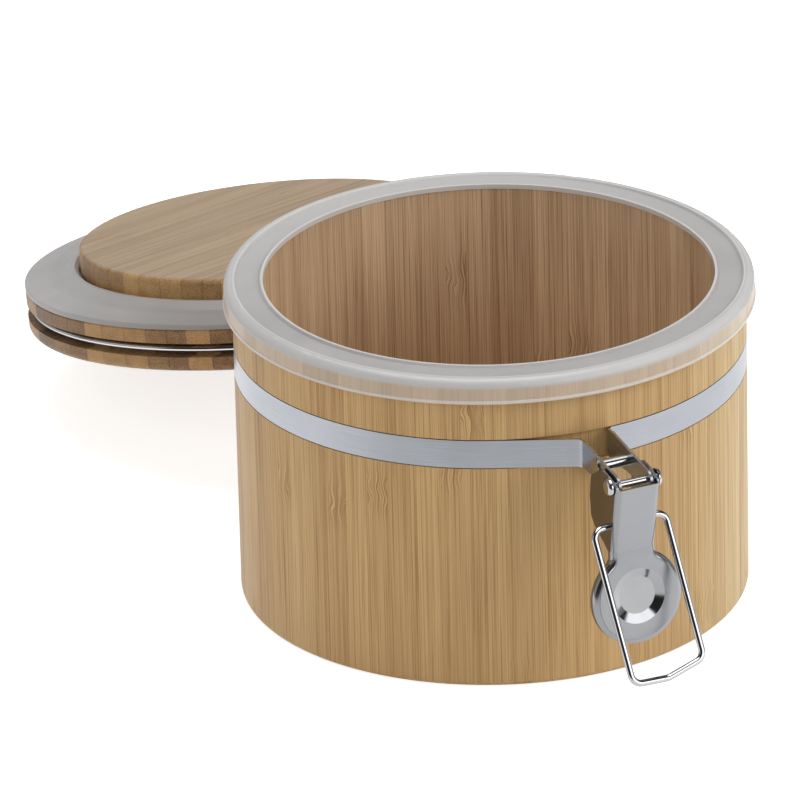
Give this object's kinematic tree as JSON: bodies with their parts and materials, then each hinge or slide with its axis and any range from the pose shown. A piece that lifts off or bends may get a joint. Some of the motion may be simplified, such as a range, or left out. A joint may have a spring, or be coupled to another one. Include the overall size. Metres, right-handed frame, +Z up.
{
  "type": "bamboo clamp-lid storage jar",
  "caption": "Round bamboo storage jar with a frosted rim collar, a steel strap with an over-centre clamp and wire bail at the front, and a wire-hinged lid hanging open behind it.",
  "frame": {"origin": "centre of the jar's flat base", "axes": "+Z up, the clamp at -Y, the hinge and the open lid at +Y"},
  "size_m": [0.1554, 0.3481, 0.0976],
  "materials": {
    "bamboo_wall": "satin",
    "bamboo_lid": "satin",
    "frosted_plastic": "frosted",
    "steel_strap": "rolled",
    "steel_satin": "satin",
    "steel_polished": "polished"
  },
  "bodies": {
    "jar": {"stave_01": "bamboo_wall", "stave_02": "bamboo_wall", "stave_03": "bamboo_wall", "stave_04": "bamboo_wall", "stave_05": "bamboo_wall", "stave_06": "bamboo_wall", "stave_07": "bamboo_wall", "stave_08": "bamboo_wall", "stave_09": "bamboo_wall", "stave_10": "bamboo_wall", "stave_11": "bamboo_wall", "stave_12": "bamboo_wall", "stave_13": "bamboo_wall", "stave_14": "bamboo_wall", "stave_15": "bamboo_wall", "stave_16": "bamboo_wall", "stave_17": "bamboo_wall", "stave_18": "bamboo_wall", "stave_19": "bamboo_wall", "stave_20": "bamboo_wall", "stave_21": "bamboo_wall", "stave_22": "bamboo_wall", "stave_23": "bamboo_wall", "stave_24": "bamboo_wall", "jar_bottom": "bamboo_wall", "rim_collar": "frosted_plastic", "strap": "steel_strap", "strap_spacer": "steel_polished", "spacer_rivet": "steel_polished", "lever_pin": "steel_polished", "hinge_bracket": "steel_strap", "bracket_rivets": "steel_polished"},
    "lid": {"lid_disc": "bamboo_lid", "lid_plug": "bamboo_lid", "lid_seal": "frosted_plastic", "lid_hoop": "steel_polished"},
    "lever": {"lever": "steel_satin"},
    "bail": {"bail": "steel_polished"}
  },
  "joints": [
    {"name": "lid_hinge", "type": "hinge", "parent": "jar", "child": "lid", "pos_m": [0, 0.0791, 0.07829], "axis": [1, 0, 0], "range_deg": [0, 189.7]},
    {"name": "lever_pivot", "type": "hinge", "parent": "jar", "child": "lever", "pos_m": [-0.004, -0.1002, 0.072], "axis": [-1, 0, 0], "range_deg": [-25, 110]},
    {"name": "bail_pivot", "type": "hinge", "parent": "lever", "child": "bail", "pos_m": [-0.004, -0.0974, 0.0586], "axis": [-0.9986, 0, -0.0523], "range_deg": [0, 175]}
  ]
}
